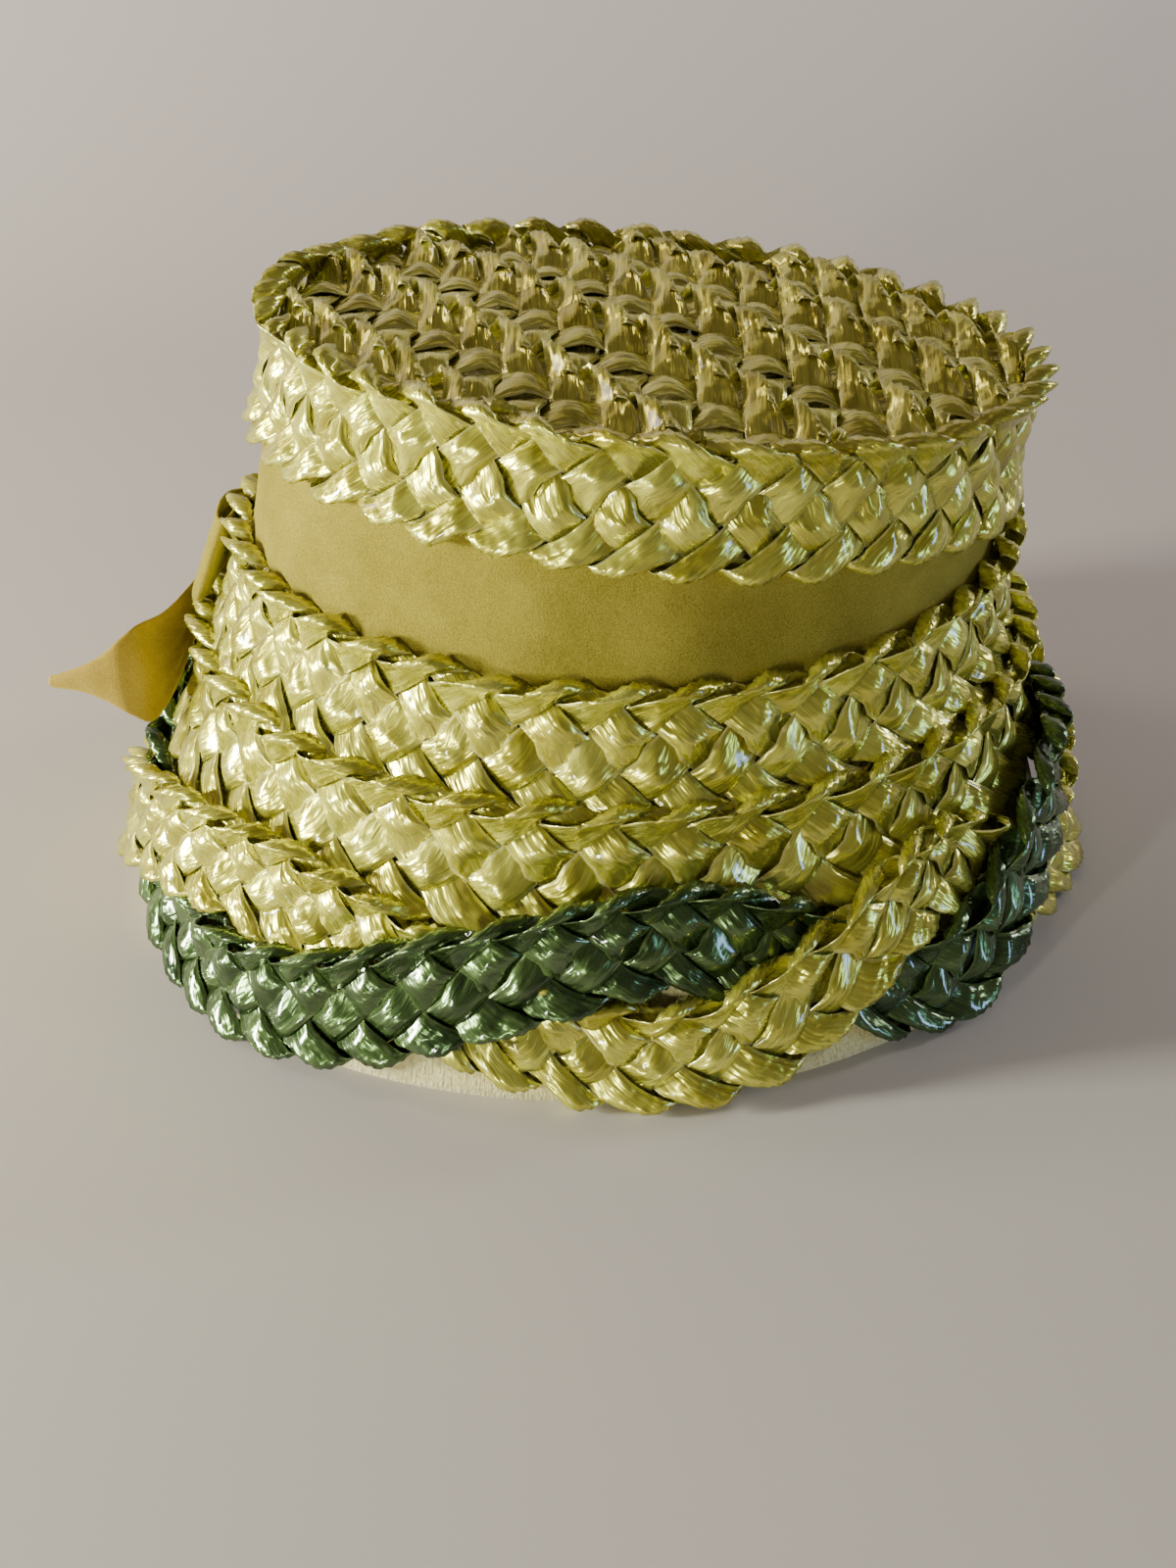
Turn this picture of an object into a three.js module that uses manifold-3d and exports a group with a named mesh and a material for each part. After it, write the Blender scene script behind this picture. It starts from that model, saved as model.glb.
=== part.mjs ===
// Straw bucket hat: a crown of sewn straw plaits with a velvet band, on a brim made of
// a yellow and a green plait twisted round each other like a two-strand rope.
// Millimetres, +Z up, -Y is the front, +X is the wearer's left. The finished hat is moved so
// that the middle of its box is at x = 0 and y = 0; it rests on z = 0.
import * as THREE from 'three';
import { mergeVertices } from 'three/addons/utils/BufferGeometryUtils.js';
import Module from 'manifold-3d';

const wasm = await Module();
wasm.setup();

// Crown: an oval bucket that leans back and widens slowly down to the flare of the brim.
const TOP_HEIGHT = 165;          // height at which the crown's half length is measured
const TOP_HALF_LENGTH = 97.8;
const OVAL = 0.826;              // width of the head oval over its length
const CROWN_TAPER = 0.05;        // growth of the half length for each mm down
const TOP_LEAN = 18.4;           // how far the top lies behind the brim's centre
const FLARE_HEIGHT = 115;        // below this height the wall flares out into the brim
const BRIM_FLARE = { length: 30.5, width: 34.5 };  // how far it has widened at the bottom
const FLARE_CURVE = 1.35;
const FULL_TURN = 2 * Math.PI;

// Straw plait: five flat straws, so the loops on one edge lie half a loop from the other's.
const PLAIT_WIDTH = 36;
const PLAIT_THICKNESS = 3.2;
const PLAIT_CROWN = 0.6;         // how far the middle bulges past the edges
const LOOP_HEIGHT = 1.4;         // half the height of a loop at the plait's edge
const CROWN_LOOPS = 40;          // loops round a crown plait
const BRIM_LOOPS = 52;           // loops round a brim plait

// Heights of the edges. An edge rises from front to back and from right to left by the
// named amounts either way from its middle, and dip lowers both sides of the hat.
const EDGES = {
  rim: { middle: 163.4, to_back: -12.6, to_left: 1.2, dip: 0 },
  velvet_top: { middle: 137, to_back: -13, to_left: 0, dip: 0 },
  middle_plait_top: { middle: 108, to_back: -2.5, to_left: 0, dip: 4.5 },
  lower_plait_top: { middle: 79, to_back: -3, to_left: 0, dip: 3 },
};
const VELVET_TUCK = 7;           // velvet hidden behind the plait below it
const VELVET_THICKNESS = 1.6;

// How far the inner face of each plait stands off the crown wall, at its top and bottom edge,
// and the share of the width over which it comes down from one to the other.
const STAND_OFF = {
  upper: { top: 2.2, bottom: 2.2, over: 1 },
  middle: { top: 2.5, bottom: 0.5, over: 1 },
  lower: { top: 5, bottom: 2.3, over: 0.6 },
};

// Crown tip: straight plait rows laid on the slant, each far edge over the row behind it.
const TIP_SINK = 9;              // depth of the tip below the rim
const TIP_DOME = 5;
const TIP_ROW_PITCH = 32;
const TIP_ROWS = 7;
const TIP_ROW_ANGLE = THREE.MathUtils.degToRad(56);  // from +Y towards +X
const TIP_LOOP_PITCH = 17.5;
const TIP_LOOPS_HALF = 6;        // loops on each side of a row's middle
const TIP_LAP_RISE = 1.1;
const TIP_THICKNESS = 3;
const TIP_CLEARANCE = 0.4;

// Brim: base fabric and the twist. A crossing is an angle where one plait lies on the other;
// yellow is on top at the first, green at the next, and so on.
const LINING_THICKNESS = 2;
const LINING_LEVELS = [
  { height: 58, back: -0.6 },
  { height: 28, back: -0.1 },
  { height: 0, back: -2 },
];
const TWIST_HEIGHT = 29.8;
const TWIST_RISE = 15.8;         // how far a plait climbs from the twist's middle
const TWIST_STAND_OFF = 8.5;
const TWIST_DEPTH = 3;           // how far a plait lies out or in where they cross
const TWIST_LEAN = 0.14;         // the twist's upper edge stands further off the flare
const TWIST_SLOPE = 0.385;       // the twist widens this much for each mm down
const TWIST_WIDTH = { squeezed: 30.2, crossing: 36 };
const TWIST_THICKNESS = 3;
const TWIST_LOOP = 0.6;
const TWIST_CROSSINGS = [-84, -25, 20, 50, 95, 140, 186, 231];
const TWIST_COSINE = Math.cos(Math.atan(TWIST_SLOPE));

const RING_STEPS = 64;

const COLOURS = {
  straw: { color: 0xcfc06a, roughness: 0.32 },
  green_straw: { color: 0x3d5a2c, roughness: 0.3 },
  velvet: { color: 0x9c9340, roughness: 0.9 },
  lining: { color: 0xd6cc8c, roughness: 0.95 },
};

function material(name) {
  return new THREE.MeshStandardMaterial({ ...COLOURS[name], metalness: 0, name });
}

// Point on the crown and flare wall, pushed out by a distance along the oval's normal.
function wallPoint(angle, height, out) {
  const drop = Math.max(FLARE_HEIGHT - height, 0) / FLARE_HEIGHT;
  const flare = drop ** FLARE_CURVE;
  const plain = TOP_HALF_LENGTH + (TOP_HEIGHT - height) * CROWN_TAPER;
  const length = plain + BRIM_FLARE.length * flare;
  const width = plain * OVAL + BRIM_FLARE.width * flare;
  const centre = TOP_LEAN * (height / TOP_HEIGHT) ** 2;
  const normal = new THREE.Vector2(Math.cos(angle) / width, Math.sin(angle) / length).normalize();
  return new THREE.Vector3(
    width * Math.cos(angle) + out * normal.x,
    centre + length * Math.sin(angle) + out * normal.y,
    height,
  );
}

function edgeHeight(edge, angle) {
  return edge.middle + edge.to_back * Math.sin(angle) + edge.to_left * Math.cos(angle)
    - edge.dip * Math.cos(2 * angle);
}

// Indexed body from sections with the same number of points. A closed row of sections makes
// a ring; an open one gets a cap at both ends. The faces are turned to point out.
function sectionBody(sections, closed) {
  const count = sections[0].length;
  const positions = sections.flat().flatMap((point) => [point.x, point.y, point.z]);
  const index = [];
  const last = closed ? sections.length : sections.length - 1;
  for (let row = 0; row < last; row++) {
    const next = (row + 1) % sections.length;
    for (let k = 0; k < count; k++) {
      const a = row * count + k;
      const b = row * count + (k + 1) % count;
      const c = next * count + (k + 1) % count;
      const d = next * count + k;
      index.push(a, b, c, a, c, d);
    }
  }
  if (!closed) {
    const end = (sections.length - 1) * count;
    for (let k = 1; k < count - 1; k++) {
      index.push(0, k + 1, k, end, end + k, end + k + 1);
    }
  }
  const geometry = new THREE.BufferGeometry();
  geometry.setAttribute('position', new THREE.Float32BufferAttribute(positions, 3));
  geometry.setIndex(volumeOf(positions, index) < 0 ? index.reverse() : index);
  return geometry;
}

function volumeOf(positions, index) {
  let volume = 0;
  const corner = (k) => new THREE.Vector3().fromArray(positions, 3 * index[k]);
  for (let k = 0; k < index.length; k += 3) {
    volume += corner(k).dot(corner(k + 1).cross(corner(k + 2))) / 6;
  }
  return volume;
}

// Section of a plait across its width: u runs from the top edge (0) to the bottom edge (1),
// v from the inner face out. The edges are thin, as the straws fold back there.
const PLAIT_SECTION = [
  { u: 0, v: 0.5, bulge: 0 },
  { u: 0.12, v: 1, bulge: 0 },
  { u: 0.5, v: 1, bulge: 1 },
  { u: 0.88, v: 1, bulge: 0 },
  { u: 1, v: 0.5, bulge: 0 },
  { u: 0.88, v: 0, bulge: 0 },
  { u: 0.12, v: 0, bulge: 0 },
];

// A plait round the crown, hung from the given edge.
function crownPlait(edge, standOff) {
  const sections = [];
  const steps = 2 * CROWN_LOOPS;
  for (let step = 0; step < steps; step++) {
    const angle = FULL_TURN * step / steps;
    const loop = step % 2 === 0 ? LOOP_HEIGHT : -LOOP_HEIGHT;
    const top = edgeHeight(edge, angle) + loop;
    const bottom = edgeHeight(edge, angle) - PLAIT_WIDTH + loop;
    sections.push(PLAIT_SECTION.map(({ u, v, bulge }) => {
      const across = Math.min(u / standOff.over, 1);
      const inner = standOff.top + (standOff.bottom - standOff.top) * across;
      const out = inner + v * PLAIT_THICKNESS + bulge * PLAIT_CROWN;
      return wallPoint(angle, top + (bottom - top) * u, out);
    }));
  }
  return sectionBody(sections, true);
}

// A smooth wall through levels, each with a height at every angle and a place of its back.
function plainWall(levels, thickness) {
  const sections = [];
  for (let step = 0; step < RING_STEPS; step++) {
    const angle = FULL_TURN * step / RING_STEPS;
    const at = ({ height, back }, extra) => wallPoint(angle, height(angle), back + extra);
    sections.push([
      ...levels.map((level) => at(level, thickness)),
      ...[...levels].reverse().map((level) => at(level, 0)),
    ]);
  }
  return sectionBody(sections, true);
}

function velvetBand() {
  const top = (angle) => edgeHeight(EDGES.velvet_top, angle);
  const bottom = (angle) => edgeHeight(EDGES.middle_plait_top, angle) - VELVET_TUCK;
  const middle = (angle) => (top(angle) + bottom(angle)) / 2;
  const levels = [top, middle, bottom].map((height) => ({ height, back: 0 }));
  return plainWall(levels, VELVET_THICKNESS);
}

function brimLining() {
  const levels = LINING_LEVELS.map(({ height, back }) => ({ height: () => height, back }));
  return plainWall(levels, LINING_THICKNESS);
}

// Phase of the twist at an angle: it grows by half a turn from each crossing to the next.
function twistPhase(angle) {
  let degrees = THREE.MathUtils.radToDeg(angle);
  const first = TWIST_CROSSINGS[0];
  const count = TWIST_CROSSINGS.length;
  degrees = first + THREE.MathUtils.euclideanModulo(degrees - first, 360);
  const crossing = (k) => TWIST_CROSSINGS[THREE.MathUtils.euclideanModulo(k, count)]
    + 360 * Math.floor(k / count);
  let k = 0;
  while (crossing(k + 1) <= degrees) {
    k++;
  }
  const share = (degrees - crossing(k)) / (crossing(k + 1) - crossing(k));
  const rate = (n) => 2 / (crossing(n + 1) - crossing(n - 1)) * (crossing(k + 1) - crossing(k));
  const smooth = k + hermite(share, rate(k), rate(k + 1));
  return Math.PI * smooth;
}

// Cubic from 0 to 1 with the given slopes at its two ends.
function hermite(t, startSlope, endSlope) {
  return startSlope * t * (1 - t) ** 2 - endSlope * t * t * (1 - t) + t * t * (3 - 2 * t);
}

// One plait of the twist. side is 1 for the plait on top at the first crossing, -1 for the other.
function twistPlait(side) {
  const sections = [];
  const steps = 2 * BRIM_LOOPS;
  for (let step = 0; step < steps; step++) {
    const angle = FULL_TURN * step / steps;
    const phase = twistPhase(angle);
    const climb = side * TWIST_RISE * Math.sin(phase);
    const over = Math.cos(phase);
    const depth = side * TWIST_DEPTH * Math.sign(over) * Math.abs(over) ** 0.6;
    const spread = TWIST_WIDTH.crossing - TWIST_WIDTH.squeezed;
    const width = TWIST_WIDTH.squeezed + spread * over * over;
    const loop = step % 2 === 0 ? TWIST_LOOP : -TWIST_LOOP;
    sections.push(PLAIT_SECTION.map(({ u, v, bulge }) => {
      const climbHere = climb + width * (0.5 - u) + loop;
      const lean = TWIST_LEAN * climbHere;
      const out = TWIST_STAND_OFF + depth + lean + (v - 0.5) * TWIST_THICKNESS
        + bulge * PLAIT_CROWN;
      return wallPoint(angle, TWIST_HEIGHT + climbHere * TWIST_COSINE, out);
    }));
  }
  return sectionBody(sections, true);
}

function solidOf(geometry) {
  const bare = mergeVertices(geometry);
  const mesh = new wasm.Mesh({
    numProp: 3,
    vertProperties: new Float32Array(bare.attributes.position.array),
    triVerts: new Uint32Array(bare.index.array),
  });
  return new wasm.Manifold(mesh);
}

function geometryOf(solid) {
  const mesh = solid.getMesh();
  const geometry = new THREE.BufferGeometry();
  geometry.setAttribute('position', new THREE.BufferAttribute(mesh.vertProperties, 3));
  geometry.setIndex(new THREE.BufferAttribute(mesh.triVerts, 1));
  return geometry;
}

// Height of the tip's underside over a point of the plan.
function tipHeight(x, y) {
  const along = (y - TOP_LEAN) / TOP_HALF_LENGTH;
  const across = x / (TOP_HALF_LENGTH * OVAL);
  const dome = TIP_DOME * Math.max(1 - along * along - across * across, 0);
  return EDGES.rim.middle - TIP_SINK + EDGES.rim.to_back * along + EDGES.rim.to_left * across
    + dome;
}

function tipRow(offset) {
  const along = new THREE.Vector2(Math.sin(TIP_ROW_ANGLE), Math.cos(TIP_ROW_ANGLE));
  const far = new THREE.Vector2(-along.y, along.x);
  const sections = [];
  for (let step = -2 * TIP_LOOPS_HALF; step <= 2 * TIP_LOOPS_HALF; step++) {
    const run = step * TIP_LOOP_PITCH / 2;
    const loop = step % 2 === 0 ? LOOP_HEIGHT : -LOOP_HEIGHT;
    sections.push(PLAIT_SECTION.map(({ u, v, bulge }) => {
      const across = offset + PLAIT_WIDTH * (0.5 - u) + loop;
      const x = along.x * run + far.x * across;
      const y = TOP_LEAN + along.y * run + far.y * across;
      const rise = TIP_LAP_RISE * (1 - u) + v * TIP_THICKNESS + bulge * PLAIT_CROWN;
      return new THREE.Vector3(x, y, tipHeight(x, y) - TIP_THICKNESS + rise);
    }));
  }
  return sectionBody(sections, false);
}

// The room inside the upper plait, which the tip's rows are trimmed to.
function tipTrim() {
  const reach = STAND_OFF.upper.top - TIP_CLEARANCE;
  const depth = 16;
  const levels = [
    (angle) => edgeHeight(EDGES.rim, angle) + depth / 2,
    (angle) => edgeHeight(EDGES.rim, angle) - TIP_SINK - depth,
  ];
  const sections = levels.map((level) => {
    const ring = [];
    for (let step = 0; step < RING_STEPS; step++) {
      const angle = FULL_TURN * step / RING_STEPS;
      ring.push(wallPoint(angle, level(angle), reach));
    }
    return ring;
  });
  return sectionBody(sections, false);
}

function crownTip() {
  let rows = null;
  const middle = (TIP_ROWS - 1) / 2;
  for (let row = 0; row < TIP_ROWS; row++) {
    const solid = solidOf(tipRow((row - middle) * TIP_ROW_PITCH));
    rows = rows ? rows.add(solid) : solid;
  }
  return geometryOf(rows.intersect(solidOf(tipTrim())));
}

// Velvet ribbon bow, pinned to the front a little past the middle.
const RIBBON_THICKNESS = 1.4;
const BOW_ANGLE = THREE.MathUtils.degToRad(-116);
const BOW_HEIGHT = 99;
const BOW_STAND_OFF = 7;         // from the crown wall to the back of the bow at its middle
const BOW_LEAN = 0.45;           // the ribbon's lower edge stands further out
const LOOP_STATIONS = [
  { reach: 3.9, out: 2.2, width: 12 },
  { reach: 12, out: 1, width: 22 },
  { reach: 22, out: 1, width: 29 },
  { reach: 31, out: 1.4, width: 30 },
  { reach: 34.5, out: 3.2, width: 30 },
  { reach: 32, out: 5.2, width: 30 },
  { reach: 23, out: 6.2, width: 29 },
  { reach: 13, out: 6.8, width: 22 },
  { reach: 4.4, out: 6.4, width: 12 },
];
const TAIL_STATIONS = {
  left: [
    { x: -43.8, y: -100.6, height: 86.6, width: 9 },
    { x: -36, y: -108, height: 81, width: 15 },
    { x: -24, y: -115, height: 76.5, width: 22 },
    { x: -10, y: -122.5, height: 74, width: 26 },
    { x: -3, y: -129, height: 72.5, width: 26 },
    { x: 1, y: -134, height: 72, width: 18 },
    { x: 3, y: -139.5, height: 71, width: 9 },
    { x: 4, y: -144.5, height: 69.5, width: 4.5 },
    { x: 5, y: -155, height: 66, width: 1.2 },
  ],
  right: [
    { x: -47, y: -98.5, height: 86.6, width: 9 },
    { x: -55, y: -101, height: 80, width: 18 },
    { x: -66, y: -95, height: 74, width: 26 },
    { x: -75, y: -87, height: 71, width: 17 },
    { x: -83, y: -78, height: 68, width: 1.2 },
  ],
};
const KNOT = { width: 8.4, height: 15, depth: 10 };

// Ribbon solid through centre points; wide is the direction across the ribbon.
function ribbon(centres, wides, widths) {
  const sections = centres.map((centre, k) => {
    const before = centres[Math.max(k - 1, 0)];
    const after = centres[Math.min(k + 1, centres.length - 1)];
    const along = new THREE.Vector3().subVectors(after, before).normalize();
    const face = new THREE.Vector3().crossVectors(along, wides[k]).normalize();
    const corner = (across, thick) => centre.clone()
      .addScaledVector(wides[k], across * widths[k] / 2)
      .addScaledVector(face, thick * RIBBON_THICKNESS / 2);
    return [corner(1, 1), corner(1, -1), corner(-1, -1), corner(-1, 1)];
  });
  return sectionBody(sections, false);
}

function bowFrame() {
  const root = wallPoint(BOW_ANGLE, BOW_HEIGHT, BOW_STAND_OFF);
  const out = new THREE.Vector3(Math.cos(BOW_ANGLE) / OVAL, Math.sin(BOW_ANGLE), 0).normalize();
  const up = out.clone().multiplyScalar(-BOW_LEAN).setZ(1).normalize();
  return { root, out, up };
}

// A loop of the bow follows the crown's curve to one side and folds back on itself.
function bowLoop(side) {
  const { up } = bowFrame();
  const arm = TOP_HALF_LENGTH * OVAL;
  const centres = LOOP_STATIONS.map(({ reach, out }) => {
    const angle = BOW_ANGLE + side * reach / arm;
    return wallPoint(angle, BOW_HEIGHT, BOW_STAND_OFF + out);
  });
  return ribbon(centres, LOOP_STATIONS.map(() => up), LOOP_STATIONS.map(({ width }) => width));
}

function bowTail(stations) {
  const up = new THREE.Vector3(0, 0, 1);
  const centres = stations.map(({ x, y, height }) => new THREE.Vector3(x, y, height));
  return ribbon(centres, stations.map(() => up), stations.map(({ width }) => width));
}

function bowKnot() {
  const { root, out, up } = bowFrame();
  const outline = new THREE.Shape();
  outline.absellipse(0, 0, KNOT.depth / 2, KNOT.width / 2, 0, FULL_TURN);
  const knot = new THREE.ExtrudeGeometry(outline, {
    depth: KNOT.height, steps: 1, bevelEnabled: false, curveSegments: 12,
  });
  knot.translate(0, 0, -KNOT.height / 2);
  const side = new THREE.Vector3().crossVectors(up, out).normalize();
  const front = new THREE.Vector3().crossVectors(side, up).normalize();
  knot.applyMatrix4(new THREE.Matrix4().makeBasis(front, side, up));
  const centre = root.clone().addScaledVector(out, KNOT.depth / 2);
  knot.translate(centre.x, centre.y, centre.z);
  return knot;
}

function piece(name, geometry, slot) {
  const mesh = new THREE.Mesh(geometry, material(slot));
  mesh.name = name;
  return mesh;
}

function hat() {
  const group = new THREE.Group();
  group.add(
    piece('crown_tip', crownTip(), 'straw'),
    piece('upper_crown_plait', crownPlait(EDGES.rim, STAND_OFF.upper), 'straw'),
    piece('velvet_band', velvetBand(), 'velvet'),
    piece('middle_crown_plait', crownPlait(EDGES.middle_plait_top, STAND_OFF.middle), 'straw'),
    piece('lower_crown_plait', crownPlait(EDGES.lower_plait_top, STAND_OFF.lower), 'straw'),
    piece('brim_lining', brimLining(), 'lining'),
    piece('brim_plait_yellow', twistPlait(1), 'straw'),
    piece('brim_plait_green', twistPlait(-1), 'green_straw'),
    piece('bow_knot', bowKnot(), 'velvet'),
    piece('bow_loop_left', bowLoop(1), 'velvet'),
    piece('bow_loop_right', bowLoop(-1), 'velvet'),
    piece('bow_tail_left', bowTail(TAIL_STATIONS.left), 'velvet'),
    piece('bow_tail_right', bowTail(TAIL_STATIONS.right), 'velvet'),
  );
  const middle = new THREE.Box3().setFromObject(group).getCenter(new THREE.Vector3());
  for (const mesh of group.children) {
    mesh.geometry.translate(-middle.x, -middle.y, 0);
  }
  return group;
}

export default hat();
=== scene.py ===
# %% [markdown]
# # A straw bucket hat with a twisted brim
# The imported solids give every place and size. This script dresses them: each solid plait
# becomes five flat straws that really pass over and under each other, and the velvet band,
# the bow and the brim's base fabric become sheets of cloth. Everything is in metres, +Z is
# up, -Y is the front and +X is the wearer's left.

# %% Load the frame
import math
import random

import bmesh
import bpy
from mathutils import Matrix, Vector


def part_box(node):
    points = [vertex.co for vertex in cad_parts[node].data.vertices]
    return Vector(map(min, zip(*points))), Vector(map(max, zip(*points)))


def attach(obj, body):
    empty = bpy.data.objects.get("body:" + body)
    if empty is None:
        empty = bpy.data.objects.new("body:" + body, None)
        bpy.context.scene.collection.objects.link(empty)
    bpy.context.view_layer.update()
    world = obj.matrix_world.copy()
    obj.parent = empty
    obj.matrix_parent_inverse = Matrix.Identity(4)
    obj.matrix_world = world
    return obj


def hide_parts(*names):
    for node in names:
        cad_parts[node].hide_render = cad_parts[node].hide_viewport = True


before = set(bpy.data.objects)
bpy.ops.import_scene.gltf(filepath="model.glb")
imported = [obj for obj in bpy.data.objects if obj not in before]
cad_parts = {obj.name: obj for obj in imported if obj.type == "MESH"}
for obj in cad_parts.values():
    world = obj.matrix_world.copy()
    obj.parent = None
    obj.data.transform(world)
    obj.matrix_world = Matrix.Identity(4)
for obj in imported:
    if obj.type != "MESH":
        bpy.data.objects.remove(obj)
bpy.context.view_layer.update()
MM = 0.001
TURN = 2 * math.pi

# %% [markdown]
# ## The block the hat is shaped on
# A milliner steams the plait over a wooden block. The block here is a formula: an oval that
# leans back towards the top and flares out below into the brim. A point on it is given by an
# angle, a height and how far it stands off the block. All the pieces are laid on this one
# formula, so they follow each other, and it repeats the values the solids were made from.

# %% The block
TOP_HEIGHT = 165 * MM
TOP_HALF_LENGTH = 97.8 * MM
OVAL = 0.826               # width over length
CROWN_TAPER = 0.05         # growth of the half length for each unit down
TOP_LEAN = 18.4 * MM       # how far the top stands back
FLARE_HEIGHT = 115 * MM    # the brim flares out from here down
BRIM_FLARE_LENGTH = 30.5 * MM
BRIM_FLARE_WIDTH = 34.5 * MM
FLARE_CURVE = 1.35
lining_low, lining_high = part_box("brim_lining")
MIDDLE = (lining_low + lining_high).xy / 2


def block(angle, height, out):
    drop = max(FLARE_HEIGHT - height, 0) / FLARE_HEIGHT
    flare = drop ** FLARE_CURVE
    plain = TOP_HALF_LENGTH + (TOP_HEIGHT - height) * CROWN_TAPER
    length = plain + BRIM_FLARE_LENGTH * flare
    width = plain * OVAL + BRIM_FLARE_WIDTH * flare
    lean = TOP_LEAN * (height / TOP_HEIGHT) ** 2
    normal = Vector((math.cos(angle) / width, math.sin(angle) / length)).normalized()
    x = MIDDLE.x + width * math.cos(angle) + out * normal.x
    y = MIDDLE.y + lean + length * math.sin(angle) + out * normal.y
    return Vector((x, y, height))


print("middle of the block, mm:", [round(v / MM, 2) for v in MIDDLE])

# %% [markdown]
# The edges of the plaits and of the velvet aren't level: they rise or fall towards the back
# and the left, and some dip at both sides. One small formula gives each edge's height at an
# angle.

# %% The edges
EDGES = {
    "rim": {"middle": 163.4 * MM, "to_back": -12.6 * MM, "to_left": 1.2 * MM, "dip": 0},
    "velvet_top": {"middle": 137 * MM, "to_back": -13 * MM, "to_left": 0, "dip": 0},
    "middle_plait": {"middle": 108 * MM, "to_back": -2.5 * MM, "to_left": 0, "dip": 4.5 * MM},
    "lower_plait": {"middle": 79 * MM, "to_back": -3 * MM, "to_left": 0, "dip": 3 * MM},
}


def edge_height(name, angle):
    edge = EDGES[name]
    tilt = edge["to_back"] * math.sin(angle) + edge["to_left"] * math.cos(angle)
    return edge["middle"] + tilt - edge["dip"] * math.cos(2 * angle)


# %% [markdown]
# ## A helper for materials
# Node materials are arithmetic on pictures that nobody has painted. A small class wraps a
# socket, so that the arithmetic reads as arithmetic, and one method adds any other node.

# %% Signal and Finish
class Signal:
    """An output socket of a material's node."""

    def __init__(self, finish, socket):
        self.finish, self.socket = finish, socket

    def math(self, operation, *values):
        return self.finish.node("ShaderNodeMath", values, operation=operation)

    def __add__(self, other):
        return self.math("ADD", self, other)

    def __mul__(self, other):
        return self.math("MULTIPLY", self, other)

    def __truediv__(self, other):
        return self.math("DIVIDE", self, other)

    def __abs__(self):
        return self.math("ABSOLUTE", self)

    __radd__ = __add__
    __rmul__ = __mul__

    def between(self, low, high):
        """0 below low, 1 above high, smooth in between."""
        return self.finish.node(
            "ShaderNodeMapRange", {"Value": self, "From Min": low, "From Max": high},
            interpolation_type="SMOOTHSTEP",
        )


class Finish:
    """A material with one Principled shader."""

    def __init__(self, name, **shader):
        self.material = bpy.data.materials.new(name)
        self.material.use_nodes = True
        self.tree = self.material.node_tree
        self.shader = self.tree.nodes["Principled BSDF"]
        for socket, value in shader.items():
            self.set(socket.replace("_", " "), value)

    def set(self, socket, value):
        place = self.shader.inputs[socket]
        if isinstance(value, Signal):
            self.tree.links.new(value.socket, place)
        else:
            place.default_value = value

    def node(self, kind, inputs, output=0, **settings):
        made = self.tree.nodes.new(kind)
        for name, value in settings.items():
            setattr(made, name, value)
        pairs = inputs.items() if isinstance(inputs, dict) else enumerate(inputs)
        for key, value in pairs:
            if isinstance(value, Signal):
                self.tree.links.new(value.socket, made.inputs[key])
            else:
                made.inputs[key].default_value = value
        return Signal(self, made.outputs[output])

    def noise(self, vector, scale, detail=2, roughness=0.5):
        """Noise of about this many waves for each unit of the vector."""
        return self.node("ShaderNodeTexNoise", {
            "Vector": vector, "Scale": scale, "Detail": detail, "Roughness": roughness,
        })

    def streaks(self, flat, along, across, detail=2, roughness=0.5):
        """Noise of so many waves in a metre along and across a flat strip."""
        stretched = self.node("ShaderNodeMapping",
                              {"Vector": flat, "Scale": (along, across, 1)})
        return self.noise(stretched, 1, detail, roughness)

    def mix(self, share, first, second):
        """Colour between two colours."""
        return self.node("ShaderNodeMix", {0: share, 6: first, 7: second}, output=2,
                         data_type="RGBA")

    def bump(self, height, distance, strength, normal=None):
        inputs = {"Height": height, "Distance": distance, "Strength": strength}
        if normal:
            inputs["Normal"] = normal
        return self.node("ShaderNodeBump", inputs)


# %% [markdown]
# ## The straw
# The straw is a flat glossy ribbon, close to cellophane. It could be painted with one glossy
# colour, but on a real one the shine breaks up. So noises are laid along the straw's own
# length, which its UV map holds in metres: fine streaks for the fibres, broader ones for the
# creases, and even ones for the dents that come from pressing it into a plait. Light gathers
# in the straw's two edges, so a pale line is painted along each of them as a highlight.

# %% The straw's finish
STRAW_HALF_WIDTH = 5.1 * MM
EDGE_HIGHLIGHT = (0.84, 0.97)   # where the painted edge highlight sets in, in half widths from the middle


def straw_finish(name, pale, deep, edge_highlight_colour, metal):
    finish = Finish(name, Metallic=metal, Coat_Roughness=0.09, Coat_IOR=1.6)
    flat = finish.node("ShaderNodeUVMap", [], uv_map="straw")
    fibres = finish.streaks(flat, 25, 1500)
    creases = finish.streaks(flat, 110, 380)
    dents = finish.streaks(flat, 160, 160, detail=1)
    tone = finish.streaks(flat, 30, 60)
    share = (tone * 0.7 + fibres * 0.3).between(0.3, 0.7)
    aside = finish.node("ShaderNodeSeparateXYZ", [flat], output=1)
    # painted highlight: a pale line mixed into the base colour along both edges of the straw
    edge = (abs(aside) / STRAW_HALF_WIDTH).between(*EDGE_HIGHLIGHT)
    body = finish.mix(share, deep, pale)
    finish.set("Base Color", finish.mix(edge * 0.6, body, edge_highlight_colour))
    finish.set("Roughness", 0.19 + fibres * 0.14)
    finish.set("Coat Weight", 0.4 + tone * 0.6)
    dented = finish.bump(dents, distance=3 * MM, strength=0.75)
    creased = finish.bump(creases, distance=1.6 * MM, strength=0.6, normal=dented)
    finish.set("Normal", finish.bump(fibres, distance=0.2 * MM, strength=0.35, normal=creased))
    return finish.material


# The edge colours are painted highlights along the straws' edges.
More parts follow.
